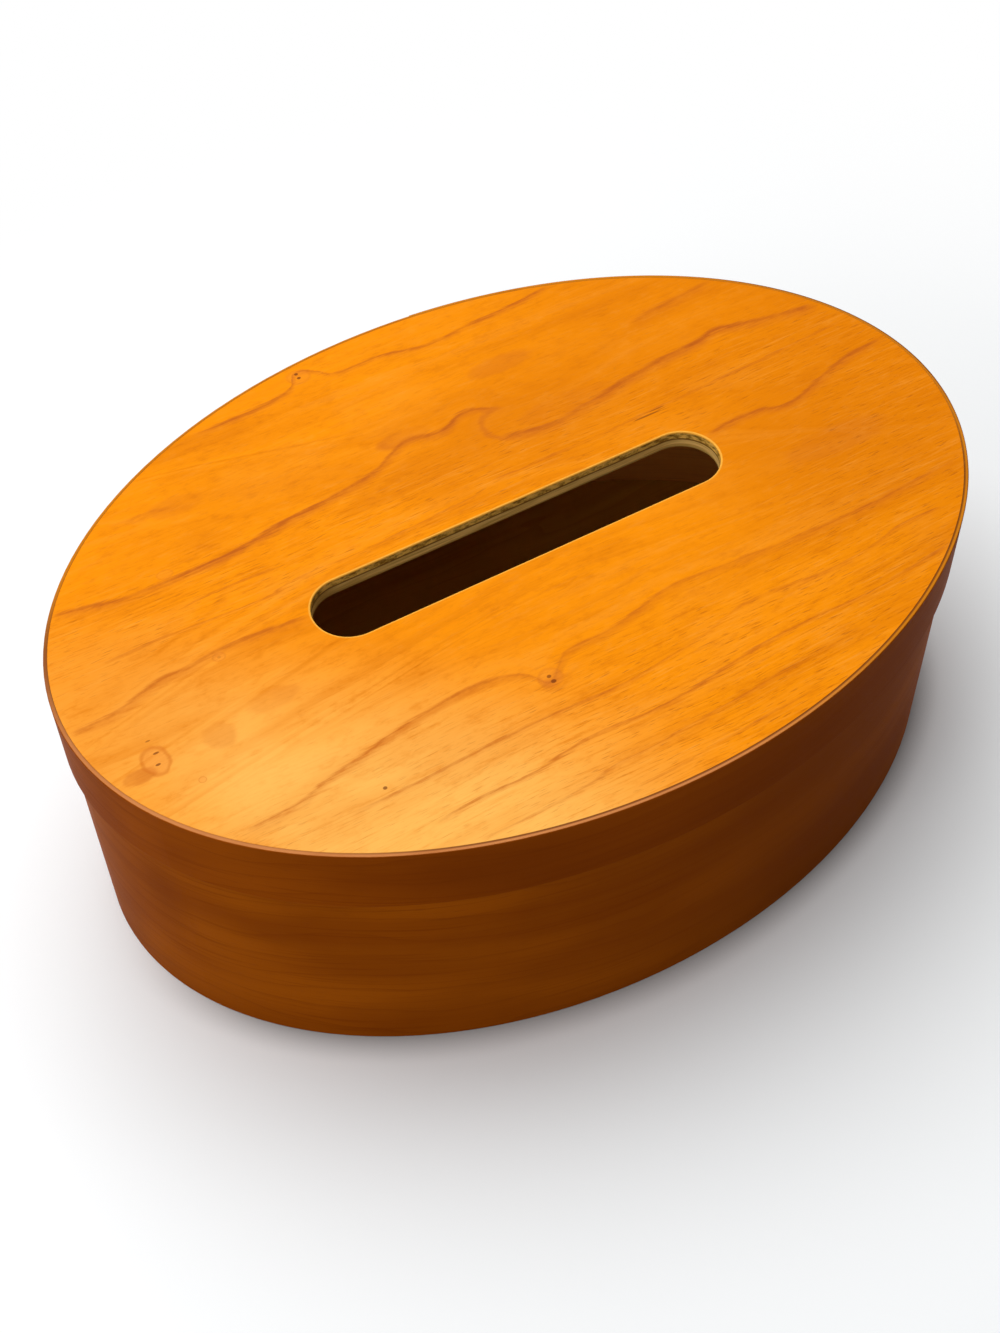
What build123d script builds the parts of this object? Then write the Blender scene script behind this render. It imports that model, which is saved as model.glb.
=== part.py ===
# Oval shaker box: a bent-wood body and a lift-off lid whose plywood top has a tissue slot.
# Millimetres. X runs along the oval and Y across it, with the lapped ends of the bands at the
# back (+Y). Z points up from the face that the box rests on.
import math
import os

from build123d import *

os.makedirs("parts", exist_ok=True)

# Overall sizes, measured over the lid
lid_length = 305.0
lid_width = 213.0
box_height = 104.5
lid_height = 25.4
oval_arcs = 8

# Bent bands
lid_band_thickness = 1.3
body_band_thickness = 1.6
lid_clearance = 0.3
band_edge_round = 0.4

# Plywood sheet of the top and bottom boards, from the show face inwards
show_veneer = 0.6
outer_ply = 2.4
inner_ply = 2.8
plain_veneer = 0.55
board_joint = 0.1

# Tissue slot in the top board
slot_length = 143.5
slot_width = 23.8
slot_edge_round = 0.4

# Lapped ends: the outer end is cut into tapered fingers that lie on the thinned inner end
lap_step = 0.5
lap_setback = 18.0
body_finger_count = 4
lid_finger_count = 1
finger_length = 56.0
finger_tip = 4.6
finger_bulge = 1.7
finger_root_share = 0.84
valley_round_share = 0.45
tip_round_share = 0.3

# Copper cut tacks: a round domed head on a square shank
tack_head_diameter = 4.0
tack_head_height = 0.35
tack_shank_width = 1.3
tack_hole_clearance = 0.05
tack_depth_share = 0.95
tack_place_shares = (0.1, 0.58)

# Overrun of every cutting shape past the face that it cuts
overrun = 1.0

# Levels and insets that follow from the sizes above
board_thickness = show_veneer + outer_ply + inner_ply + plain_veneer
lid_bottom = box_height - lid_height
body_top = box_height - board_thickness
body_inset = lid_band_thickness + lid_clearance
lid_board_inset = lid_band_thickness + board_joint
bottom_board_inset = body_inset + body_band_thickness + board_joint

# Upright plane through the box, facing the back: its X points right as seen from behind
behind = Plane(origin=(0, 0, 0), x_dir=(-1, 0, 0), z_dir=(0, 1, 0))


def oval(inset, mode=Mode.ADD, shift=0):
    """Draw the lid's outline, drawn in by inset and moved across by shift, from equal arcs."""
    half_length = lid_length / 2 - inset
    half_width = lid_width / 2 - inset
    sweep = 360 / oval_arcs
    with BuildLine() as outline:
        for number in range(oval_arcs):
            start = sweep * (number - 1 / 2)
            EllipticalCenterArc((0, shift), half_length, half_width, start, arc_size=sweep)
    make_face(outline.edges(), mode=mode)


def round_outer_edges(band):
    """Round the outer corners of a band's upper and lower edges."""
    rims = band.faces().sort_by(Axis.Z)
    fillet(rims[0].outer_wire().edges() + rims[-1].outer_wire().edges(), radius=band_edge_round)


def finger_centres(bottom, top, count):
    """Heights of the fingers' middle lines, evenly spread between two levels."""
    pitch = (top - bottom) / count
    return [bottom + pitch * (number + 1 / 2) for number in range(count)]


def lap_relief(inset, bottom, top, finger_bottom, finger_top, count):
    """Make the shallow space beside and beyond the fingers, where the thinned inner end shows."""
    pitch = (finger_top - finger_bottom) / count
    root_width = pitch * finger_root_share
    valley_width = pitch - root_width
    tip_x = finger_length - lap_setback
    with BuildPart() as relief:
        with BuildSketch(Plane.XY.offset(bottom - overrun)):
            oval(inset - overrun)
            oval(inset, mode=Mode.SUBTRACT, shift=-lap_step)
            with Locations((0, -lap_step)):
                Rectangle(lid_length * 2, lid_width, align=(Align.CENTER, Align.MAX), mode=Mode.SUBTRACT)
        extrude(amount=top - bottom + overrun + overrun)
        with BuildSketch(behind.offset(-lap_step)) as comb:
            with Locations((-lap_setback, (bottom + top) / 2)):
                Rectangle(lid_length, (top - bottom) * 2, align=(Align.MAX, Align.CENTER))
            for centre in finger_centres(finger_bottom, finger_top, count):
                with BuildLine():
                    lower_root = (-lap_setback, centre - root_width / 2)
                    upper_root = (-lap_setback, centre + root_width / 2)
                    lower_tip = (tip_x, centre - finger_tip / 2)
                    upper_tip = (tip_x, centre + finger_tip / 2)
                    Line(upper_root, lower_root)
                    SagittaArc(lower_root, lower_tip, -finger_bulge)
                    Line(lower_tip, upper_tip)
                    SagittaArc(upper_tip, upper_root, -finger_bulge)
                make_face()
            corners = comb.vertices().group_by(Axis.X)
            fillet(corners[-1], radius=finger_tip * tip_round_share)
            valleys = corners[1].sort_by(Axis.Y)[1:-1]
            fillet(valleys, radius=valley_width * valley_round_share)
        extrude(amount=lid_width, mode=Mode.SUBTRACT)
    return relief.part


def tack_planes(inset, finger_bottom, finger_top, count):
    """Planes on the band's outer face at each tack, facing straight out of it."""
    half_length = lid_length / 2 - inset
    half_width = lid_width / 2 - inset
    planes = []
    for height in finger_centres(finger_bottom, finger_top, count):
        for share in tack_place_shares:
            x = lap_setback - finger_length * share
            y = half_width * math.sqrt(1 - (x / half_length) ** 2)
            outward = (x / half_length**2, y / half_width**2, 0)
            planes.append(Plane(origin=(x, y, height), x_dir=(0, 0, 1), z_dir=outward))
    return planes


def tack(shank_length):
    """Make one tack at the origin, its domed head upwards."""
    head_radius = tack_head_diameter / 2
    with BuildPart() as one_tack:
        with BuildSketch(Plane.XZ):
            with BuildLine():
                Polyline((0, tack_head_height), (0, 0), (head_radius, 0))
                TangentArc((0, tack_head_height), (head_radius, 0), tangent=(1, 0))
            make_face()
        revolve(axis=Axis.Z)
        Box(tack_shank_width, tack_shank_width, shank_length, align=(Align.CENTER, Align.CENTER, Align.MAX))
    return one_tack.part


def tack_hole(band_thickness):
    """Cut the square hole of a tack through a band, at the current location."""
    hole_width = tack_shank_width + tack_hole_clearance * 2
    Box(hole_width, hole_width, (band_thickness + overrun) * 2, mode=Mode.SUBTRACT)


def save(builder, name):
    """Label a finished piece and write it."""
    builder.part.label = name
    export_step(builder.part, f"parts/{name}.step")


# Body band, with the fingers below the lid's edge and its lap continuing under the lid
body_tack_planes = tack_planes(body_inset, 0, lid_bottom, body_finger_count)
with BuildPart() as body_band:
    with BuildSketch():
        oval(body_inset)
        oval(body_inset + body_band_thickness, mode=Mode.SUBTRACT)
    extrude(amount=body_top)
    round_outer_edges(body_band)
    add(lap_relief(body_inset, 0, body_top, 0, lid_bottom, body_finger_count), mode=Mode.SUBTRACT)
    with Locations(*body_tack_planes):
        tack_hole(body_band_thickness)
save(body_band, "body_band")

with BuildPart() as body_tacks:
    with Locations(*body_tack_planes):
        add(tack(body_band_thickness * tack_depth_share))
save(body_tacks, "body_tacks")

# Bottom board, flush with the band's lower edge
level = 0
for layer_name, thickness in (("outer_veneer", show_veneer), ("lower_ply", outer_ply),
                              ("upper_ply", inner_ply), ("inner_veneer", plain_veneer)):
    with BuildPart() as bottom_layer:
        with BuildSketch(Plane.XY.offset(level)):
            oval(bottom_board_inset)
        extrude(amount=thickness)
    save(bottom_layer, f"bottom_{layer_name}")
    level += thickness

# Lid band, with one finger in the middle of its height
lid_tack_planes = tack_planes(0, lid_bottom, box_height, lid_finger_count)
with BuildPart() as lid_band:
    with BuildSketch(Plane.XY.offset(lid_bottom)):
        oval(0)
        oval(lid_band_thickness, mode=Mode.SUBTRACT)
    extrude(amount=lid_height)
    round_outer_edges(lid_band)
    add(lap_relief(0, lid_bottom, box_height, lid_bottom, box_height, lid_finger_count), mode=Mode.SUBTRACT)
    with Locations(*lid_tack_planes):
        tack_hole(lid_band_thickness)
save(lid_band, "lid_band")

with BuildPart() as lid_tacks:
    with Locations(*lid_tack_planes):
        add(tack(lid_band_thickness * tack_depth_share))
save(lid_tacks, "lid_tacks")

# Top board, flush with the band's upper edge and resting on the body band, slotted through
level = box_height
for layer_name, thickness in (("face_veneer", show_veneer), ("upper_ply", outer_ply),
                              ("lower_ply", inner_ply), ("back_veneer", plain_veneer)):
    level -= thickness
    with BuildPart() as top_layer:
        with BuildSketch(Plane.XY.offset(level)):
            oval(lid_board_inset)
            SlotOverall(slot_length, slot_width, mode=Mode.SUBTRACT)
        extrude(amount=thickness)
        if layer_name == "face_veneer":
            show_face = top_layer.faces().sort_by(Axis.Z)[-1]
            fillet(show_face.inner_wires()[0].edges(), radius=slot_edge_round)
    save(top_layer, f"lid_{layer_name}")
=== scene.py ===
import math

import bpy
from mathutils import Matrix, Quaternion, Vector


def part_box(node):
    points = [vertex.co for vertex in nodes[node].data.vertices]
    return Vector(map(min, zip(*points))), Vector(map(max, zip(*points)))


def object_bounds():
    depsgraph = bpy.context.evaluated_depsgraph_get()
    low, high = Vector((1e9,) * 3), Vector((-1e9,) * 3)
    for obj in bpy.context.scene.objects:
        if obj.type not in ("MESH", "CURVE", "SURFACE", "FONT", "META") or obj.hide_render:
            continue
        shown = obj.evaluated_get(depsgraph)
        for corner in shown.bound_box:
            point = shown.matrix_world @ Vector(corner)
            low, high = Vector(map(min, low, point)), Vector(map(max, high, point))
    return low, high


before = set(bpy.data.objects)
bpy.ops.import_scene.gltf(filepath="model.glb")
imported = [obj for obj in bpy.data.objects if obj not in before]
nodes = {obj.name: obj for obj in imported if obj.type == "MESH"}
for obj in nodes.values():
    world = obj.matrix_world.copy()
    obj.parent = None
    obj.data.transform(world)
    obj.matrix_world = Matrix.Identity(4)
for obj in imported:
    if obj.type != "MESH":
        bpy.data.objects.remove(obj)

cadLow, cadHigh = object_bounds()  # the CAD box, before anything is dressed
mm = 0.001
print("frame loaded:", len(nodes), "pieces")


# small helpers for wiring shader nodes

def setSocket(tree, socket, value):
    if isinstance(value, bpy.types.NodeSocket):
        tree.links.new(value, socket)
    else:
        socket.default_value = value


def calc(tree, operation, first, second=None, third=None):
    node = tree.nodes.new("ShaderNodeMath")
    node.operation = operation
    for socket, value in zip(node.inputs, (first, second, third)):
        if value is not None:
            setSocket(tree, socket, value)
    return node.outputs[0]


def times(tree, first, second):
    return calc(tree, "MULTIPLY", first, second)


def hypotenuse(tree, first, second):
    return calc(tree, "SQRT", calc(tree, "MULTIPLY_ADD", first, first, times(tree, second, second)))


def ramp(tree, value, low, high, start=0.0, end=1.0):  # smooth, from start at low to end at high
    node = tree.nodes.new("ShaderNodeMapRange")
    node.interpolation_type = "SMOOTHSTEP"
    given = {"Value": value, "From Min": low, "From Max": high, "To Min": start, "To Max": end}
    for name in given:
        setSocket(tree, node.inputs[name], given[name])
    return node.outputs[0]


def mmRamp(tree, value, span, start=0.0, end=1.0):  # the same over a span in millimetres
    return ramp(tree, value, span[0] * mm, span[1] * mm, start, end)


def blendColour(tree, factor, first, second):
    node = tree.nodes.new("ShaderNodeMix")
    node.data_type = "RGBA"
    setSocket(tree, node.inputs["Factor"], factor)
    for name, value in (("A", first), ("B", second)):
        socket = [s for s in node.inputs if s.name == name and s.type == "RGBA"][0]
        setSocket(tree, socket, value if isinstance(value, bpy.types.NodeSocket) else (*value, 1.0))
    return [s for s in node.outputs if s.type == "RGBA"][0]


def vectorCalc(tree, operation, first, second):
    node = tree.nodes.new("ShaderNodeVectorMath")
    node.operation = operation
    setSocket(tree, node.inputs[0], first)
    setSocket(tree, node.inputs[1], second)
    return node.outputs[0]


def noise(tree, vector, scale, detail=3.0, roughness=0.5):  # scale: patterns per metre
    node = tree.nodes.new("ShaderNodeTexNoise")
    setSocket(tree, node.inputs["Vector"], vectorCalc(tree, "MULTIPLY", vector, scale))
    node.inputs["Scale"].default_value = 1.0
    node.inputs["Detail"].default_value = detail
    node.inputs["Roughness"].default_value = roughness
    return node.outputs["Fac"]


def split(tree, vector):
    node = tree.nodes.new("ShaderNodeSeparateXYZ")
    setSocket(tree, node.inputs[0], vector)
    return node.outputs


def join(tree, x, y, z):
    node = tree.nodes.new("ShaderNodeCombineXYZ")
    for socket, value in zip(node.inputs, (x, y, z)):
        setSocket(tree, socket, value)
    return node.outputs[0]


vectorSockets = ("Place", "Grain", "Centre", "Size")  # all other sockets of the groups carry numbers


def startGroup(name, inputs, outputs):
    tree = bpy.data.node_groups.new(name, "ShaderNodeTree")
    for label in inputs + outputs:
        kind = "NodeSocketVector" if label in vectorSockets else "NodeSocketFloat"
        way = "INPUT" if label in inputs else "OUTPUT"
        tree.interface.new_socket(label, in_out=way, socket_type=kind)
    return tree, tree.nodes.new("NodeGroupInput").outputs, tree.nodes.new("NodeGroupOutput").inputs


def useGroup(tree, group, **values):
    node = tree.nodes.new("ShaderNodeGroup")
    node.node_tree = group
    for label, value in values.items():
        setSocket(tree, node.inputs[label], value)
    return node.outputs


# shared effects, each a node group
fibreLook = {
    "poreScale": (190.0, 2700.0, 2700.0), "poreShare": (0.58, 0.72), "figureScale": (75.0, 45.0, 45.0),
    "ringScale": (9.0, 30.0, 30.0), "ringWander": 3.0, "ringEdge": 12.0,
}
knotLook = {"wobbleScale": (240.0, 240.0, 240.0), "wobble": 0.4, "wobbleLeast": 0.8}
stainCrisp = 0.35  # reach of a growth line's stain on its sharp side, as a share of the other side's


def makeFibres(look):  # X of Grain runs along the wood
    tree, given, out = startGroup("woodFibres", ["Grain", "StreakLength", "StreakWidth", "RingSpacing"],
                                  ["Streaks", "Pores", "Figure", "Rings"])
    grain = given["Grain"]
    along = calc(tree, "DIVIDE", 1.0, given["StreakLength"])
    across = calc(tree, "DIVIDE", 1.0, given["StreakWidth"])
    setSocket(tree, out["Streaks"], noise(tree, grain, join(tree, along, across, across), 4.0, 0.62))
    dashes = noise(tree, grain, look["poreScale"], 2.0)
    setSocket(tree, out["Pores"], ramp(tree, dashes, *look["poreShare"]))
    setSocket(tree, out["Figure"], noise(tree, grain, look["figureScale"], 3.0, 0.55))
    wander = noise(tree, grain, look["ringScale"], 3.0, 0.5)
    turns = calc(tree, "DIVIDE", split(tree, grain)["Y"], given["RingSpacing"])
    turns = calc(tree, "MULTIPLY_ADD", wander, look["ringWander"], turns)
    rings = calc(tree, "POWER", calc(tree, "FRACT", turns), look["ringEdge"])  # slow rise, sharp end
    setSocket(tree, out["Rings"], rings)
    return tree


def makeGrowthLine():  # a thin line with a softer stain along one side
    tree, given, out = startGroup("growthLine", ["Offset", "Core", "Fade"], ["Line", "Halo"])
    offset = given["Offset"]
    setSocket(tree, out["Line"], ramp(tree, calc(tree, "ABSOLUTE", offset), 0.0, given["Core"], 1.0, 0.0))
    crisp = ramp(tree, offset, 0.0, times(tree, given["Fade"], stainCrisp), 1.0, 0.0)
    soft = ramp(tree, times(tree, offset, -1.0), 0.0, given["Fade"], 1.0, 0.0)
    setSocket(tree, out["Halo"], times(tree, crisp, soft))
    return tree


def makeKnot(look):  # an uneven oval: its outline, what lies inside, and a soft patch with no edge
    tree, given, out = startGroup("knotOval", ["Place", "Centre", "Size"], ["Ring", "Inside", "Soft"])
    place = given["Place"]
    fromCentre = vectorCalc(tree, "SUBTRACT", place, given["Centre"])
    x, y, z = split(tree, vectorCalc(tree, "DIVIDE", fromCentre, given["Size"]))
    reach = hypotenuse(tree, x, y)
    wobble = noise(tree, place, look["wobbleScale"], 2.0)
    wobble = calc(tree, "MULTIPLY_ADD", wobble, look["wobble"], look["wobbleLeast"])
    share = times(tree, reach, wobble)
    ring = times(tree, ramp(tree, share, 0.72, 0.96), ramp(tree, share, 0.98, 1.2, 1.0, 0.0))
    setSocket(tree, out["Ring"], ring)
    setSocket(tree, out["Inside"], ramp(tree, share, 0.75, 1.15, 1.0, 0.0))
    setSocket(tree, out["Soft"], ramp(tree, reach, 0.1, 1.2, 1.0, 0.0))
    return tree


def makeOvalDistance():  # how far a point lies inside an oval, measured square to it
    tree, given, out = startGroup("ovalDistance", ["Place", "HalfLength", "HalfWidth"], ["Depth"])
    x, y, z = split(tree, given["Place"])
    xShare = calc(tree, "DIVIDE", x, given["HalfLength"])
    yShare = calc(tree, "DIVIDE", y, given["HalfWidth"])
    reach = hypotenuse(tree, xShare, yShare)
    slope = hypotenuse(tree, calc(tree, "DIVIDE", xShare, given["HalfLength"]),
                       calc(tree, "DIVIDE", yShare, given["HalfWidth"]))
    inward = times(tree, calc(tree, "SUBTRACT", 1.0, reach), reach)
    setSocket(tree, out["Depth"], calc(tree, "DIVIDE", inward, slope))
    return tree


fibres = makeFibres(fibreLook)
growthLine = makeGrowthLine()
knotOval = makeKnot(knotLook)
ovalDistance = makeOvalDistance()
print("shared effects made")


def woodAlong(tree, grain, look):
    return useGroup(tree, fibres, Grain=grain, StreakLength=look["streakLength"],
                    StreakWidth=look["streakWidth"], RingSpacing=look["ringSpacing"])


def ovalPatch(tree, place, centre, size):  # centre and half sizes in millimetres
    (px, py), (sx, sy) = centre, size
    return useGroup(tree, knotOval, Place=place, Centre=(px * mm, py * mm, 0), Size=(sx * mm, sy * mm, 1))


def depthInside(tree, place, corner):  # inwards from the outline of an oval piece
    return useGroup(tree, ovalDistance, Place=place, HalfLength=corner.x, HalfWidth=corner.y)["Depth"]


def startMaterial(name, look):
    material = bpy.data.materials.new(name)
    material.use_nodes = True
    tree = material.node_tree
    tree.nodes.clear()
    shader = tree.nodes.new("ShaderNodeBsdfPrincipled")
    shader.inputs["Roughness"].default_value = look["roughness"]
    shader.inputs["Specular IOR Level"].default_value = look["gloss"]
    output = tree.nodes.new("ShaderNodeOutputMaterial")
    tree.links.new(shader.outputs[0], output.inputs["Surface"])
    return material, tree, shader, tree.nodes.new("ShaderNodeTexCoord").outputs


def addBump(tree, shader, height, strength, distance):
    bump = tree.nodes.new("ShaderNodeBump")
    bump.inputs["Strength"].default_value = strength
    bump.inputs["Distance"].default_value = distance
    setSocket(tree, bump.inputs["Height"], height)
    tree.links.new(bump.outputs[0], shader.inputs["Normal"])


woodFinish = {"roughnessSpread": 0.16, "bump": 0.25, "bumpDepth": 0.12 * mm}


def finishWood(tree, shader, colour, wood, roughness):
    tree.links.new(colour, shader.inputs["Base Color"])
    spread = woodFinish["roughnessSpread"]
    dull = calc(tree, "MULTIPLY_ADD", wood["Streaks"], spread, roughness - spread / 2)
    tree.links.new(dull, shader.inputs["Roughness"])
    height = calc(tree, "SUBTRACT", times(tree, wood["Streaks"], 0.5), wood["Pores"])
    addBump(tree, shader, height, woodFinish["bump"], woodFinish["bumpDepth"])


def dress(material, name):
    slots = nodes[name].data.materials
    slots.clear()
    slots.append(material)


# top face of the lid: cherry veneer whose growth lines and knots are laid out in millimetres
faceVeneer = {
    # honey: the lighter streaks of the wood, and the colour of the painted sheen
    "amber": (0.92, 0.278, 0.001), "honeyAndSheen": (0.98, 0.475, 0.095), "russet": (0.70, 0.185, 0.001),
    "lineTint": (0.44, 0.090, 0.006), "haloTint": (0.60, 0.145, 0.009), "poreTint": (0.36, 0.080, 0.005),
    "knotTint": (0.15, 0.030, 0.005), "knotFill": (0.80, 0.26, 0.045), "jointTint": (0.17, 0.040, 0.008),
    "slotEdgeTint": (0.96, 0.46, 0.060), "roughness": 0.46, "gloss": 0.02,
    "streakLength": 16 * mm, "streakWidth": 0.7 * mm, "ringSpacing": 20 * mm,
    "slotLength": 143.5, "slotWidth": 23.8, "slotEdge": (0.3, 0.8),
    "jointWidth": (0.02, 0.28), "jointLeft": (-120, -60), "jointBack": (10, 55), "jointSlant": 0.45,
    "coarseFront": (-66, -40), "coarseMiddle": 26, "coarseStrip": (8, 24), "coarseRight": (90, 130),
    # spans of the painted sheen at the front left
    "sheenWay": (-0.62, -0.78), "sheenFront": (42, 108), "sheenRight": (-60, 18), "sheenLeft": (-150, -105),
    "duskSlant": 0.3, "dusk": (10, 150),
    "patterns": {  # bends with the growth lines, scale, detail, roughness, how much it darkens
        "cloud": (False, (26.0, 34.0, 34.0), 3.0, 0.55, 0.30),
        "broad": (True, (7.0, 60.0, 60.0), 3.0, 0.55, 0.38),
        "bands": (True, (5.0, 150.0, 150.0), 3.0, 0.6, 0.38),
        "mottle": (False, (150.0, 330.0, 330.0), 4.0, 0.65, 0.42),
    },
    "fray": 3.0, "lineReach": 14, "lineRest": 0.25, "lineEnds": 8, "thinLine": 0.6,  # how lines bend and end
    "lines": [  # strength, half width of the line, reach of the stain, points along the line
        (0.70, 0.8, 3.0, [(-72, 91), (-55, 91), (-40, 92), (-33, 94), (-28, 100), (-22, 97), (-18, 93.5),
                          (0, 93), (10, 90.5), (18, 89.5), (33, 91), (50, 92), (68, 94.5)]),
        (0.90, 1.1, 4.0, [(-140, 42.5), (-130, 41), (-118, 38), (-97, 37.5), (-80, 38), (-62, 41),
                          (-38, 43.5), (-27, 46), (-17, 51), (-12, 52.7), (0, 51), (11, 54.8), (18, 52.3),
                          (24, 49)]),
        (0.70, 1.0, 4.0, [(-152, -1.5), (-143, -1.8), (-135, -1), (-127, 1.8), (-118, 3.7), (-111, 3.3),
                          (-105, 4.5), (-85, 4.3), (-78, 3.5), (-70, 2.3)]),
        (0.62, 0.7, 3.6, [(-124, -57), (-103, -56), (-97, -54), (-80, -50.5), (-63, -47.3), (-40, -46),
                          (-32, -47.7), (-27, -51), (-24, -55.5), (-18, -51.5), (-14, -48.5), (0, -48),
                          (17, -44.7), (25, -43), (50, -44.7), (80, -46.5), (135, -45)]),
        (0.50, 0.7, 2.2, [(-96, -67), (-68, -67), (-40, -66), (0, -67), (10, -65.7), (22, -64.3),
                          (33, -61.8), (40, -60.2), (55, -60.7), (70, -62), (87, -61.3), (102, -58.5),
                          (119, -59.5)]),
        (0.90, 1.4, 5.0, [(14, 39), (25, 36), (33, 35), (48, 37.3), (58, 39.3), (80, 42.7), (97, 44),
                          (102, 45.7), (110, 44), (120, 41.5), (141, 38)]),
        (0.80, 1.2, 4.0, [(70, 4.2), (93, 5.7), (99, 3.7), (104, 3.2), (117, 7), (133, 11.8), (142, 12.7),
                          (150, 13)]),
        (0.60, 0.7, 2.0, [(-76, -82), (-62, -80.5), (-48, -81), (-22, -78.5), (-8, -79.5), (10, -79),
                          (25, -77), (53, -75), (75, -75.7), (110, -72.5)]),
        (0.42, 0.5, 1.6, [(-70, -92.5), (-32, -92), (-25, -90.7), (-8, -90.2), (25, -88), (56, -85.3)]),
        (0.42, 0.5, 1.6, [(-134, 17.3), (-113, 17.7), (-90, 16.3), (-80, 16), (-70, 17.8), (-48, 17.7),
                          (0, 20.7)]),
        (0.38, 0.5, 1.4, [(0, 23), (50, 23.3), (92, 24.8), (117, 25.7), (144, 27.3)]),
        (0.50, 1.4, 5.0, [(78, 62), (88, 64.3), (97, 65.3), (118, 67.5)]),
        (0.35, 0.5, 1.4, [(-106, 24.6), (-98, 26), (-85, 26), (-68, 25)]),
        (0.40, 1.0, 3.5, [(-113, 68.5), (-104, 67), (-97, 66.8), (-86, 64)]),
        (0.30, 0.5, 1.4, [(-25, -100), (0, -99.3), (20, -98.3), (40, -97)]),
    ],
    "hook": ((20.5, 43.5), (9, 7.5), (17, 24), 0.55),  # one growth line folds back, fading along a span
    # the rest are ovals: centre, half length and half width, strength
    # broad russet tone in the wood, and at the left end a painted shade that dims the top where the lamps
    # fall brighter
    "russetAndShade": [((30, 42), (70, 36), 0.65), ((100, -14), (54, 46), 0.62), ((-132, 4), (36, 40), 0.25)],
    "stains": [
        ((-12, 54.5), (10, 3.6), 0.65), ((32, 68.5), (13, 4.2), 0.36), ((-88, 65), (9, 4.5), 0.30),
        ((40, 41), (17, 5.0), 0.30), ((107, -18), (20, 6.0), 0.28), ((-95, -20), (8.5, 3.8), 0.28),
        ((-114, -24), (5, 5.0), 0.30), ((-22, -57), (5, 3.0), 0.35), ((-139.5, -25.6), (5.5, 2.6), 0.70),
    ],
    "rings": [
        ((-28.2, 97.8), (4.0, 3.4), 0.22), ((-22.7, -54.5), (3.8, 3.4), 0.26),
        ((-133.3, -22.8), (4.0, 5.1), 0.50), ((-102, 2.4), (2.0, 1.7), 0.28),
        ((-102.5, 40.3), (2.6, 1.8), 0.22), ((-124.7, -35.5), (1.1, 1.0), 0.40),
    ],
    "dots": [
        ((-28.3, 99.3), (0.7, 0.6), 0.80), ((-28.3, 97.2), (0.7, 0.6), 0.80),
        ((-22.8, -53.8), (0.7, 0.6), 0.70), ((-22.5, -56), (0.9, 0.7), 0.80),
        ((-132.2, -20.3), (1.0, 0.4), 0.70), ((-133.3, -24.3), (0.8, 0.4), 0.75),
        ((-132.5, -15.2), (0.8, 0.3), 0.50), ((-82.3, -64.2), (0.7, 0.6), 0.75),
        ((-102, 2.3), (0.6, 0.5), 0.22), ((60.5, 22.3), (5.0, 0.35), 0.60), ((65, 23.4), (3.0, 0.25), 0.50),
    ],
}


def linePath(tree, points, xShare, corner):  # how far back a growth line lies, at each place along the lid
    curve = tree.nodes.new("ShaderNodeFloatCurve")
    path = curve.mapping.curves[0]
    while len(path.points) < len(points):
        path.points.new(0.5, 0.5)
    for point, (px, py) in zip(path.points, points):
        point.location = (0.5 + px * mm / (2 * corner.x), 0.5 + py * mm / (2 * corner.y))
    curve.mapping.update()
    setSocket(tree, curve.inputs["Value"], xShare)
    return calc(tree, "MULTIPLY_ADD", curve.outputs[0], 2 * corner.y, -corner.y)


# distance from each growth line, and how far the lines together bend the wood
def followLines(tree, look, x, y, fray, corner):
    xShare = calc(tree, "MULTIPLY_ADD", x, 0.5 / corner.x, 0.5)
    offsets = []
    pull, weight = 0.0, look["lineRest"]
    for strength, core, fade, points in look["lines"]:
        height = linePath(tree, points, xShare, corner)
        offset = calc(tree, "SUBTRACT", y, height)
        near = mmRamp(tree, calc(tree, "ABSOLUTE", offset), (0, look["lineReach"]), 1.0, 0.0)
        level = sum(py for px, py in points) / len(points) * mm
        pull = calc(tree, "MULTIPLY_ADD", near, calc(tree, "SUBTRACT", height, level), pull)
        weight = calc(tree, "ADD", weight, near)
        offsets.append(calc(tree, "ADD", offset, fray))
    return offsets, calc(tree, "DIVIDE", pull, weight)


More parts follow.
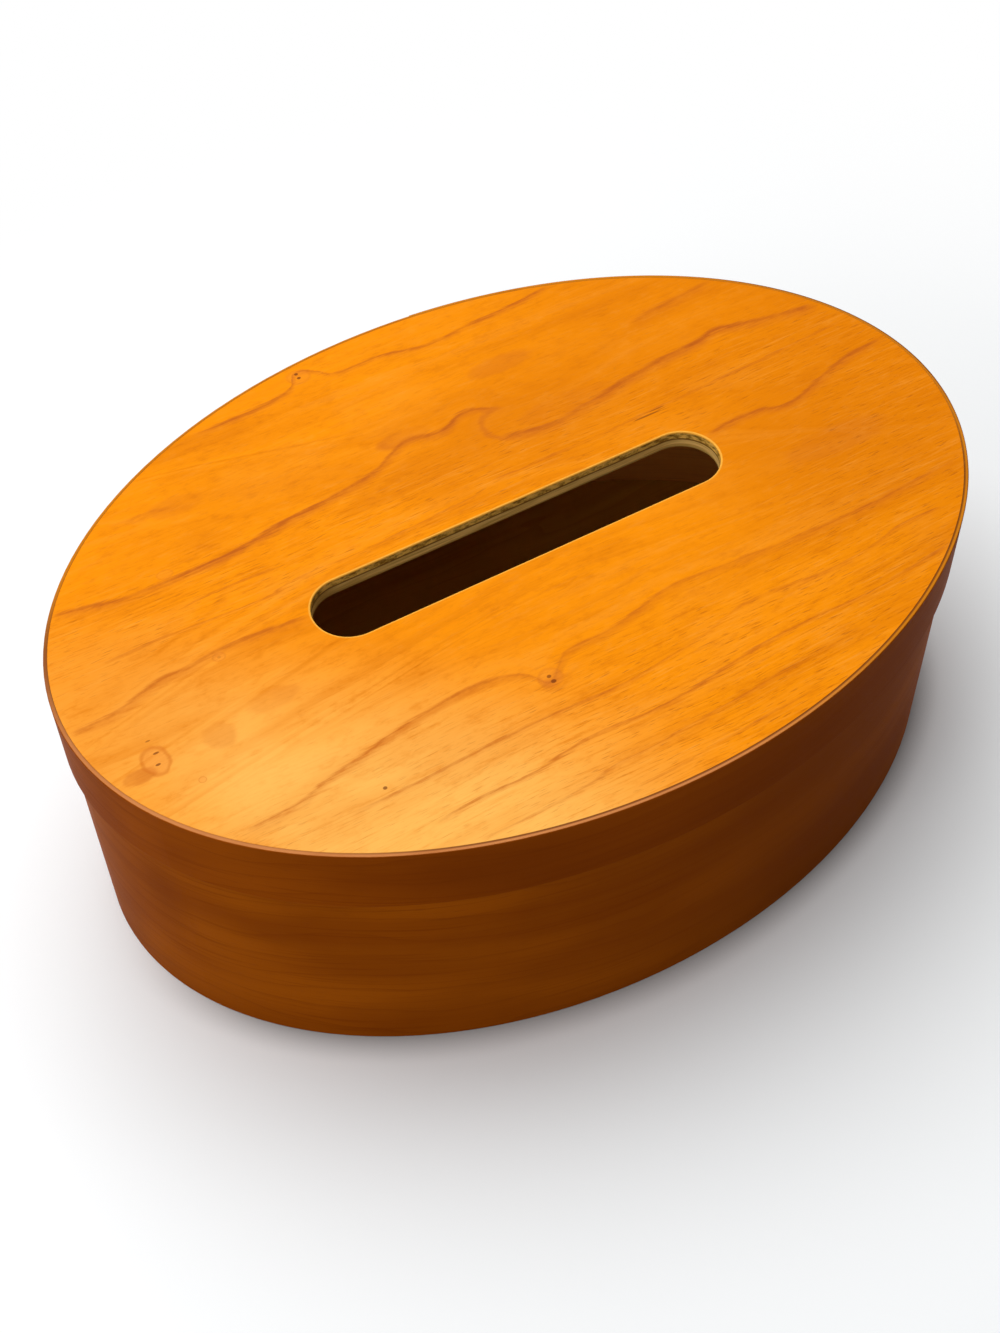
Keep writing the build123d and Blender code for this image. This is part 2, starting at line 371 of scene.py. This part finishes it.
def faceTones(tree, look, place, growth, wood):  # colour before any mark, and masks for the marks
    x, y, z = split(tree, place)
    tones = {}
    for name, (bends, scale, detail, roughness, most) in look["patterns"].items():
        tones[name] = noise(tree, growth if bends else place, scale, detail, roughness)

    # the fibres show more at the front, along a strip behind the slot, and at the right
    fromStrip = calc(tree, "ABSOLUTE", calc(tree, "SUBTRACT", y, look["coarseMiddle"] * mm))
    strip = mmRamp(tree, fromStrip, look["coarseStrip"], 0.8, 0.0)
    coarse = calc(tree, "MAXIMUM", mmRamp(tree, y, look["coarseFront"], 1.0, 0.0), strip)
    coarse = calc(tree, "MAXIMUM", coarse, mmRamp(tree, calc(tree, "SUBTRACT", x, y), look["coarseRight"]))
    coarse = calc(tree, "MULTIPLY_ADD", coarse, 0.65, 0.35)

    # a painted sheen makes the front left paler and smoother; russet to the right
    xWay, yWay = look["sheenWay"]
    pale = mmRamp(tree, calc(tree, "MULTIPLY_ADD", x, xWay, times(tree, y, yWay)), look["sheenFront"])
    pale = times(tree, pale, mmRamp(tree, x, look["sheenRight"], 1.0, 0.0))
    pale = times(tree, pale, mmRamp(tree, x, look["sheenLeft"], 0.45, 1.0))
    pale = times(tree, pale, ramp(tree, tones["cloud"], 0.2, 0.6, 0.75, 1.1))
    sheenDamping = calc(tree, "MULTIPLY_ADD", pale, -0.5, 1.0)
    colour = blendColour(tree, pale, look["amber"], look["honeyAndSheen"])
    dusk = mmRamp(tree, calc(tree, "MULTIPLY_ADD", y, look["duskSlant"], x), look["dusk"], 0.0, 0.58)
    colour = blendColour(tree, dusk, colour, look["russet"])
    # broad russet tone, and the painted shade at the left end
    for centre, size, strength in look["russetAndShade"]:
        shade = times(tree, ovalPatch(tree, place, centre, size)["Soft"], strength)
        colour = blendColour(tree, shade, colour, look["russet"])

    darker = times(tree, ramp(tree, wood["Streaks"], 0.50, 0.74, 0.0, 0.60), coarse)
    lighter = times(tree, ramp(tree, wood["Streaks"], 0.28, 0.48, 0.15, 0.0), coarse)
    for name, tone in tones.items():
        most = look["patterns"][name][-1]
        darker = calc(tree, "ADD", darker, ramp(tree, tone, 0.48, 0.73, 0.0, most))
        lighter = calc(tree, "ADD", lighter, ramp(tree, tone, 0.28, 0.46, 0.15 * most, 0.0))
    colour = blendColour(tree, times(tree, darker, sheenDamping), colour, look["russet"])
    colour = blendColour(tree, times(tree, lighter, sheenDamping), colour, look["honeyAndSheen"])
    return colour, coarse, sheenDamping, tones["mottle"]


def drawLines(tree, look, colour, place, offsets, mottle):
    x = split(tree, place)["X"]
    uneven = ramp(tree, noise(tree, place, (34.0, 34.0, 34.0), 2.0), 0.3, 0.62, 0.35, 1.0)
    uneven = times(tree, uneven, ramp(tree, mottle, 0.3, 0.65, 0.55, 1.1))
    for (strength, core, fade, points), offset in zip(look["lines"], offsets):
        mark = useGroup(tree, growthLine, Offset=offset, Core=core * mm, Fade=fade * mm)
        first, last = points[0][0], points[-1][0]
        ends = mmRamp(tree, x, (first, first + look["lineEnds"]))
        ends = times(tree, ends, mmRamp(tree, x, (last - look["lineEnds"], last), 1.0, 0.0))
        amount = times(tree, times(tree, ends, uneven), strength)
        colour = blendColour(tree, times(tree, mark["Halo"], amount), colour, look["haloTint"])
        thin = times(tree, times(tree, mark["Line"], amount), look["thinLine"])
        colour = blendColour(tree, thin, colour, look["lineTint"])
    return colour


def drawKnots(tree, look, colour, place):
    centre, size, span, strength = look["hook"]
    hook = mmRamp(tree, split(tree, place)["X"], span, strength, 0.0)
    hook = times(tree, ovalPatch(tree, place, centre, size)["Ring"], hook)
    colour = blendColour(tree, hook, colour, look["haloTint"])
    for centre, size, strength in look["rings"]:
        knot = ovalPatch(tree, place, centre, size)
        colour = blendColour(tree, times(tree, knot["Inside"], 0.6 * strength), colour, look["knotFill"])
        colour = blendColour(tree, times(tree, knot["Ring"], strength), colour, look["haloTint"])
    for centre, size, strength in look["dots"]:
        dot = times(tree, ovalPatch(tree, place, centre, size)["Inside"], strength)
        colour = blendColour(tree, dot, colour, look["knotTint"])
    return colour


def drawEdges(tree, look, colour, place, corner):  # the joint with the band, and the paler edge of the slot
    x, y, z = split(tree, place)
    joint = mmRamp(tree, depthInside(tree, place, corner), look["jointWidth"], 0.85, 0.0)
    joint = times(tree, joint, mmRamp(tree, x, look["jointLeft"], 0.1, 1.0))
    toBack = calc(tree, "MULTIPLY_ADD", x, look["jointSlant"], y)
    joint = times(tree, joint, mmRamp(tree, toBack, look["jointBack"], 1.0, 0.15))
    colour = blendColour(tree, joint, colour, look["jointTint"])
    slotRadius = look["slotWidth"] / 2 * mm
    beyond = calc(tree, "SUBTRACT", calc(tree, "ABSOLUTE", x), look["slotLength"] / 2 * mm - slotRadius)
    fromSlot = hypotenuse(tree, calc(tree, "MAXIMUM", beyond, 0.0), y)
    fromSlot = calc(tree, "SUBTRACT", fromSlot, slotRadius)
    slotEdge = mmRamp(tree, fromSlot, look["slotEdge"], 0.9, 0.0)
    return blendColour(tree, slotEdge, colour, look["slotEdgeTint"])


def faceMaterial(look):
    material, tree, shader, coordinates = startMaterial("cherryFace", look)
    place = coordinates["Object"]
    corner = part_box("lid_face_veneer")[1]
    x, y, z = split(tree, place)
    drift = calc(tree, "MULTIPLY_ADD", noise(tree, place, (8.0, 14.0, 14.0), 2.0), 8 * mm, -4 * mm)
    wood = woodAlong(tree, join(tree, x, calc(tree, "ADD", y, drift), z), look)
    fray = calc(tree, "SUBTRACT", wood["Streaks"], 0.5)  # the lines fray along the fibres that they cross
    fray = times(tree, fray, look["fray"] * mm)
    offsets, bend = followLines(tree, look, x, y, fray, corner)
    growth = join(tree, x, calc(tree, "ADD", calc(tree, "SUBTRACT", y, bend), fray), z)
    colour, coarse, sheenDamping, mottle = faceTones(tree, look, place, growth, wood)
    for centre, size, strength in look["stains"]:
        stain = ovalPatch(tree, place, centre, size)["Inside"]
        stain = times(tree, stain, ramp(tree, wood["Figure"], 0.3, 0.6, 0.3, 1.0))
        colour = blendColour(tree, times(tree, stain, strength), colour, look["haloTint"])
    colour = drawLines(tree, look, colour, place, offsets, mottle)
    colour = drawKnots(tree, look, colour, place)
    # fewer pores under the painted sheen
    pores = times(tree, times(tree, wood["Pores"], 0.5), times(tree, coarse, sheenDamping))
    colour = blendColour(tree, pores, colour, look["poreTint"])
    colour = drawEdges(tree, look, colour, place, corner)
    finishWood(tree, shader, colour, wood, look["roughness"])
    return material


dress(faceMaterial(faceVeneer), "lid_face_veneer")
print("lid face dressed")


# bent bands: the grain runs round the oval; the sides carry painted shade, and the upper edge is lighter
bentWood = {  # what both bands share: spans in millimetres, and angles in radians from the front
    "roughness": 0.42, "gloss": 0.004, "streakLength": 60 * mm, "streakWidth": 1.3 * mm,
    "lapDepth": 0.3, "lapOuterFrom": -2.75, "lapInnerFrom": 2.95, "thinned": (0.1, 0.45),
    "plain": (-90, 40),
    "rimSlant": 0.45, "rimFront": (-85, -30), "rimBack": (25, 60), "rimRight": (-10, 80),
    "jointLeft": (-120, -60), "jointBack": (10, 55), "endRight": (100, 135), "endFront": (-45, -5),
    "outerEdge": (0.45, 0.85),
}
lidBand = {
    **bentWood, "thickness": 1.3, "ringSpacing": 11 * mm, "startHeight": 0.31,
    # the side browns are darker than the face's cherry: partly the band's own deeper tone, partly painted
    # shade on the sides
    "brown": (0.30, 0.058, 0.0010), "dark": (0.20, 0.035, 0.0007), "light": (0.38, 0.082, 0.0020),
    "rimSheen": (0.60, 0.225, 0.07), "rimBrown": (0.26, 0.085, 0.025), "rimGold": (0.60, 0.20, 0.010),
    "rimJointAndShade": (0.20, 0.055, 0.012), "inside": (0.80, 0.36, 0.07),
    # soft patches: centre round the band and up, half length and half height, strength; the paler ones are
    # painted reflections, the darker ones painted shade
    "paler": [((-164, 92), (13, 12), 0.70), ((-120, 90), (28, 16), 0.56)],
    "darker": [((-55, 90), (46, 22), 0.56), ((40, 80), (90, 30), 0.56)],
}
bodyBand = {
    **bentWood, "thickness": 1.6, "ringSpacing": 10 * mm, "startHeight": 0.83,
    # the side browns: partly the band's own deeper tone, partly painted shade on the sides
    "brown": (0.33, 0.069, 0.0012), "dark": (0.22, 0.040, 0.0008), "light": (0.44, 0.103, 0.0024),
    "rimSheen": (0.60, 0.24, 0.09), "rimBrown": (0.50, 0.19, 0.06), "rimGold": (0.52, 0.19, 0.03),
    "rimJointAndShade": (0.40, 0.14, 0.04), "inside": (0.82, 0.38, 0.07),
    # paler patches are painted reflections, darker ones painted shade
    "paler": [((-170, 22), (16, 13), 0.56), ((-128, 70), (22, 7), 0.56), ((-100, 30), (50, 12), 0.56),
              ((-142, 42), (24, 18), 0.49)],
    "darker": [((-160, 57), (13, 23), 0.448), ((60, 22), (80, 32), 0.70), ((30, 66), (100, 24), 0.56),
               ((-86, 44), (34, 16), 0.392)],
}


def unroll(tree, look, place, depth, corner):  # length round the band from the middle of the front
    x, y, z = split(tree, place)
    angle = calc(tree, "ARCTAN2", calc(tree, "DIVIDE", x, corner.x), calc(tree, "DIVIDE", y, -corner.y))
    # at the lap, the figure breaks along the outline of the fingers
    outer = calc(tree, "LESS_THAN", depth, look["lapDepth"] * mm)
    onward = times(tree, calc(tree, "LESS_THAN", angle, look["lapOuterFrom"]), outer)
    under = calc(tree, "GREATER_THAN", angle, look["lapInnerFrom"])
    under = times(tree, under, calc(tree, "SUBTRACT", 1.0, outer))
    angle = calc(tree, "MULTIPLY_ADD", calc(tree, "SUBTRACT", onward, under), 2 * math.pi, angle)
    return times(tree, angle, (corner.x + corner.y) / 2)


def rimColour(tree, look, place, depth, wood):  # painted sheen at the front left, golden at the right and back
    x, y, z = split(tree, place)
    toBack = calc(tree, "MULTIPLY_ADD", x, look["rimSlant"], y)
    colour = blendColour(tree, mmRamp(tree, toBack, look["rimFront"]), look["rimSheen"], look["rimBrown"])
    golden = calc(tree, "MAXIMUM", mmRamp(tree, y, look["rimBack"]), mmRamp(tree, x, look["rimRight"]))
    colour = blendColour(tree, golden, colour, look["rimGold"])
    colour = blendColour(tree, ramp(tree, wood["Streaks"], 0.45, 0.8, 0.0, 0.4), colour, look["brown"])
    innerEdge = mmRamp(tree, depth, (look["thickness"] - 0.5, look["thickness"] - 0.25), 0.0, 0.75)
    innerEdge = times(tree, innerEdge, mmRamp(tree, x, look["jointLeft"], 0.2, 1.0))
    innerEdge = times(tree, innerEdge, mmRamp(tree, toBack, look["jointBack"], 1.0, 0.2))
    colour = blendColour(tree, innerEdge, colour, look["rimJointAndShade"])
    # painted shade on the outer rounding at the right end, in the colour of the joint
    rightEnd = times(tree, mmRamp(tree, x, look["endRight"]), mmRamp(tree, y, look["endFront"]))
    outerEdge = times(tree, mmRamp(tree, depth, look["outerEdge"], 0.9, 0.0), rightEnd)
    return blendColour(tree, outerEdge, colour, look["rimJointAndShade"])


def bandMaterial(name, look, node):
    material, tree, shader, coordinates = startMaterial(name, look)
    place = coordinates["Object"]
    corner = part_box(node)[1]
    depth = depthInside(tree, place, corner)
    along = unroll(tree, look, place, depth, corner)
    height = split(tree, place)["Z"]
    across = calc(tree, "ADD", height, look["startHeight"])  # each band has its own figure
    flat = join(tree, along, across, 0.0)
    sway = calc(tree, "MULTIPLY_ADD", noise(tree, flat, (6.0, 9.0, 1.0), 2.0), 16 * mm, -8 * mm)
    grain = join(tree, along, calc(tree, "ADD", across, sway), 0.0)
    wood = woodAlong(tree, grain, look)
    broad = noise(tree, grain, (5.0, 55.0, 1.0), 3.0, 0.55)
    cloud = noise(tree, flat, (16.0, 24.0, 1.0), 3.0, 0.55)
    colour = blendColour(tree, ramp(tree, broad, 0.35, 0.7, 0.0, 0.65), look["brown"], look["light"])
    colour = blendColour(tree, ramp(tree, cloud, 0.4, 0.7, 0.0, 0.35), colour, look["dark"])
    wall = join(tree, along, height, 0.0)
    # painted reflections and painted shade, laid on the wall as soft patches
    for patches, tone in ((look["paler"], look["light"]), (look["darker"], look["dark"])):
        for centre, size, strength in patches:
            patch = times(tree, ovalPatch(tree, wall, centre, size)["Soft"], strength)
            colour = blendColour(tree, patch, colour, tone)
    plain = mmRamp(tree, along, look["plain"], 1.0, 0.45)  # less figure to the right
    streaks = times(tree, ramp(tree, wood["Streaks"], 0.5, 0.78, 0.0, 0.68), plain)
    rings = times(tree, times(tree, wood["Rings"], 0.45), plain)
    pores = times(tree, wood["Pores"], 0.3)
    thinned = mmRamp(tree, depth, look["thinned"], 0.0, 0.45)  # painted shade in the recess at the inner end of the lap, under the fingers
    for mark in (streaks, rings, pores, thinned):
        colour = blendColour(tree, mark, colour, look["dark"])
    inner = mmRamp(tree, depth, (look["thickness"] - 0.2, look["thickness"] - 0.05))
    innerStreaks = ramp(tree, wood["Streaks"], 0.48, 0.85, 0.0, 0.6)
    innerColour = blendColour(tree, innerStreaks, look["inside"], look["brown"])
    colour = blendColour(tree, inner, colour, innerColour)
    # the upper edge takes its own lighter colours, without the painted shade of the sides
    facingUp = ramp(tree, split(tree, coordinates["Normal"])["Z"], 0.80, 0.98)
    colour = blendColour(tree, facingUp, colour, rimColour(tree, look, place, depth, wood))
    finishWood(tree, shader, colour, wood, look["roughness"])
    return material


dress(bandMaterial("cherryLidBand", lidBand, "lid_band"), "lid_band")
dress(bandMaterial("cherryBodyBand", bodyBand, "body_band"), "body_band")
print("bands dressed")


# plywood core: the sawn edges show in the slot, with a dark glue line between the two plies
sawnPly = {
    "roughness": 0.75, "gloss": 0.2, "bumpDepth": 0.4 * mm,
    "glue": (0.17, 0.07, 0.006), "glueSpan": (0.22, 0.42), "glueWander": 0.5 * mm,
}
crossPly = {
    **sawnPly, "pale": (0.84, 0.48, 0.09), "dark": (0.24, 0.110, 0.006),
    "flecks": (380.0, 380.0, 800.0), "bump": 0.8,
}
longPly = {
    **sawnPly, "pale": (0.80, 0.50, 0.15), "dark": (0.52, 0.30, 0.065),
    "flecks": (50.0, 50.0, 1300.0), "bump": 0.4,
}


def plyMaterial(name, look, seam):
    material, tree, shader, coordinates = startMaterial(name, look)
    place = coordinates["Object"]
    fleck = noise(tree, place, look["flecks"], 4.0, 0.65)
    colour = blendColour(tree, ramp(tree, fleck, 0.36, 0.62), look["dark"], look["pale"])
    wander = noise(tree, place, (60.0, 60.0, 60.0), 2.0)
    wander = calc(tree, "MULTIPLY_ADD", wander, look["glueWander"], -look["glueWander"] / 2)
    offSeam = calc(tree, "SUBTRACT", split(tree, place)["Z"], seam)
    offSeam = calc(tree, "ABSOLUTE", calc(tree, "ADD", offSeam, wander))
    colour = blendColour(tree, mmRamp(tree, offSeam, look["glueSpan"], 0.9, 0.0), colour, look["glue"])
    tree.links.new(colour, shader.inputs["Base Color"])
    addBump(tree, shader, fleck, look["bump"], look["bumpDepth"])
    return material


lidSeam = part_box("lid_lower_ply")[1].z
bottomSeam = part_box("bottom_lower_ply")[1].z
dress(plyMaterial("plyLidUpper", crossPly, lidSeam), "lid_upper_ply")
dress(plyMaterial("plyLidLower", longPly, lidSeam), "lid_lower_ply")
dress(plyMaterial("plyBottomLower", crossPly, bottomSeam), "bottom_lower_ply")
dress(plyMaterial("plyBottomUpper", longPly, bottomSeam), "bottom_upper_ply")
print("plies dressed")


# plain faces that are only seen with the lid off or the box turned over
plainVeneer = {
    "pale": (0.76, 0.44, 0.055), "dark": (0.60, 0.30, 0.032), "cutEdge": (0.46, 0.27, 0.065),
    "roughness": 0.55, "gloss": 0.1,
    "streakLength": 50 * mm, "streakWidth": 1.4 * mm, "ringSpacing": 16 * mm,
}


def plainMaterial(name, look, shift):  # shift: where in the log the sheet was cut
    material, tree, shader, coordinates = startMaterial(name, look)
    place = coordinates["Object"]
    x, y, z = split(tree, place)
    drift = calc(tree, "MULTIPLY_ADD", noise(tree, place, (8.0, 15.0, 15.0), 2.0), 20 * mm, shift)
    grain = join(tree, x, calc(tree, "ADD", y, drift), shift)
    wood = woodAlong(tree, grain, look)
    broad = noise(tree, grain, (5.0, 45.0, 45.0), 3.0, 0.55)
    colour = blendColour(tree, ramp(tree, broad, 0.35, 0.68), look["pale"], look["dark"])
    streaks = ramp(tree, wood["Streaks"], 0.5, 0.78, 0.0, 0.55)
    for mark in (streaks, times(tree, wood["Rings"], 0.5), times(tree, wood["Pores"], 0.4)):
        colour = blendColour(tree, mark, colour, look["dark"])
    tilt = calc(tree, "ABSOLUTE", split(tree, coordinates["Normal"])["Z"])
    colour = blendColour(tree, ramp(tree, tilt, 0.3, 0.7, 1.0, 0.0), colour, look["cutEdge"])
    finishWood(tree, shader, colour, wood, look["roughness"])
    return material


dress(plainMaterial("cherryLidBack", plainVeneer, 0.17), "lid_back_veneer")
dress(plainMaterial("cherryBoxFloor", plainVeneer, 0.53), "bottom_inner_veneer")
dress(plainMaterial("cherryUnderside", plainVeneer, 0.71), "bottom_outer_veneer")
print("plain veneers dressed")


# copper tacks: hammered, dulled heads
tacks = {
    "copper": (0.50, 0.20, 0.10), "tarnish": (0.17, 0.08, 0.045), "roughness": 0.42,
    "tarnishRoughness": 0.67, "gloss": 0.5, "dents": (900.0, 900.0, 900.0),
    "stains": (260.0, 260.0, 260.0), "bump": 0.5, "bumpDepth": 0.2 * mm,
}


def tackMaterial(look):
    material, tree, shader, coordinates = startMaterial("copperTack", look)
    place = coordinates["Object"]
    dents = noise(tree, place, look["dents"], 3.0, 0.6)
    stain = noise(tree, place, look["stains"], 3.0, 0.6)
    colour = blendColour(tree, ramp(tree, stain, 0.4, 0.7), look["copper"], look["tarnish"])
    tree.links.new(colour, shader.inputs["Base Color"])
    shader.inputs["Metallic"].default_value = 1.0
    dull = ramp(tree, stain, 0.3, 0.7, look["roughness"], look["tarnishRoughness"])
    tree.links.new(dull, shader.inputs["Roughness"])
    addBump(tree, shader, dents, look["bump"], look["bumpDepth"])
    return material


copper = tackMaterial(tacks)
dress(copper, "body_tacks")
dress(copper, "lid_tacks")
print("tacks dressed")


# pale floor that keeps the shadow, and soft light from the back left
studio = {
    "floor": {
        "size": 6.0, "roughness": 0.9, "gloss": 0.1, "seen": (0.97, 0.99, 1.00),
        "bounce": (0.32, 0.32, 0.32), "contactShadow": (0.0, 0.0, 0.0), "contactReach": 10 * mm,
        "contactFront": (-70, 0), "fade": (0.28, 0.58), "fadeAhead": 0.20,
    },
    "ambient": 0.24,
    "key": {"place": (-0.12, 0.50, 1.40), "size": (1.6, 1.4), "power": 21.8},
    "fill": {"place": (-1.3, -0.6, 0.7), "size": (0.9, 0.9), "power": 7.0},
}


def backdropSeen(tree):  # what the eye, a mirror or glass sees, as against light that bounces
    path = tree.nodes.new("ShaderNodeLightPath").outputs
    seen = calc(tree, "MAXIMUM", path["Is Camera Ray"], path["Is Glossy Ray"])
    return calc(tree, "MAXIMUM", seen, path["Is Transmission Ray"])


def makeFloor(look):
    bpy.ops.mesh.primitive_plane_add(size=look["size"], location=(0, 0, cadLow.z))
    floor = bpy.context.object
    floor.name = "floor"
    material, tree, shader, coordinates = startMaterial("paleFloor", look)
    contactShadow = tree.nodes.new("ShaderNodeAmbientOcclusion")  # painted contact shadow: a narrow dark line where the box touches
    contactShadow.inputs["Distance"].default_value = look["contactReach"]
    x, y, z = split(tree, coordinates["Object"])
    front = mmRamp(tree, y, look["contactFront"], 1.0, 0.0)
    shade = times(tree, calc(tree, "SUBTRACT", 1.0, contactShadow.outputs["AO"]), front)
    seen = blendColour(tree, shade, look["seen"], look["contactShadow"])
    eye = backdropSeen(tree)
    tree.links.new(blendColour(tree, eye, look["bounce"], seen), shader.inputs["Base Color"])
    away = hypotenuse(tree, x, calc(tree, "ADD", y, look["fadeAhead"]))
    fade = tree.nodes.new("ShaderNodeMixShader")  # far off, the floor is as white as the backdrop
    setSocket(tree, fade.inputs[0], times(tree, ramp(tree, away, *look["fade"]), eye))
    tree.links.new(shader.outputs[0], fade.inputs[1])
    tree.links.new(tree.nodes.new("ShaderNodeEmission").outputs[0], fade.inputs[2])
    tree.links.new(fade.outputs[0], tree.nodes["Material Output"].inputs["Surface"])
    floor.data.materials.append(material)


def makeLight(name, look, target):
    light = bpy.data.lights.new(name, "AREA")
    light.shape = "RECTANGLE"
    light.size, light.size_y = look["size"]
    light.energy = look["power"]
    lamp = bpy.data.objects.new(name, light)
    lamp.location = look["place"]
    lamp.rotation_euler = (target - lamp.location).to_track_quat("-Z", "Y").to_euler()
    bpy.context.scene.collection.objects.link(lamp)


def makeWorld(ambient):
    world = bpy.data.worlds.new("studio")
    world.use_nodes = True
    tree = world.node_tree
    background = tree.nodes["Background"]
    background.inputs["Color"].default_value = (1.0, 1.0, 1.0, 1.0)
    strength = calc(tree, "MULTIPLY_ADD", backdropSeen(tree), 1.0 - ambient, ambient)  # 1 where seen
    tree.links.new(strength, background.inputs["Strength"])
    bpy.context.scene.world = world


makeFloor(studio["floor"])
middle = (cadLow + cadHigh) / 2
makeLight("key", studio["key"], middle)
makeLight("fill", studio["fill"], middle)
makeWorld(studio["ambient"])
print("studio lit")


# camera where the photograph was taken from
viewpoint = {
    "place": (-0.20524, -0.35093, 0.54287), "aim": (-0.0135, -0.0082, 0.0545), "roll": -1.42,
    "lens": 52.13, "sensor": 36.0,
}


def makeCamera(look):
    camera = bpy.data.cameras.new("camera")
    camera.lens = look["lens"]
    camera.sensor_width = look["sensor"]
    camera.clip_start = 0.01
    holder = bpy.data.objects.new("camera", camera)
    holder.location = look["place"]
    turn = (Vector(look["aim"]) - holder.location).to_track_quat("-Z", "Y")
    holder.rotation_mode = "QUATERNION"
    holder.rotation_quaternion = turn @ Quaternion((0, 0, 1), math.radians(look["roll"]))
    bpy.context.scene.collection.objects.link(holder)
    bpy.context.scene.camera = holder


makeCamera(viewpoint)
bpy.context.scene.view_settings.view_transform = "Standard"
print("camera set")
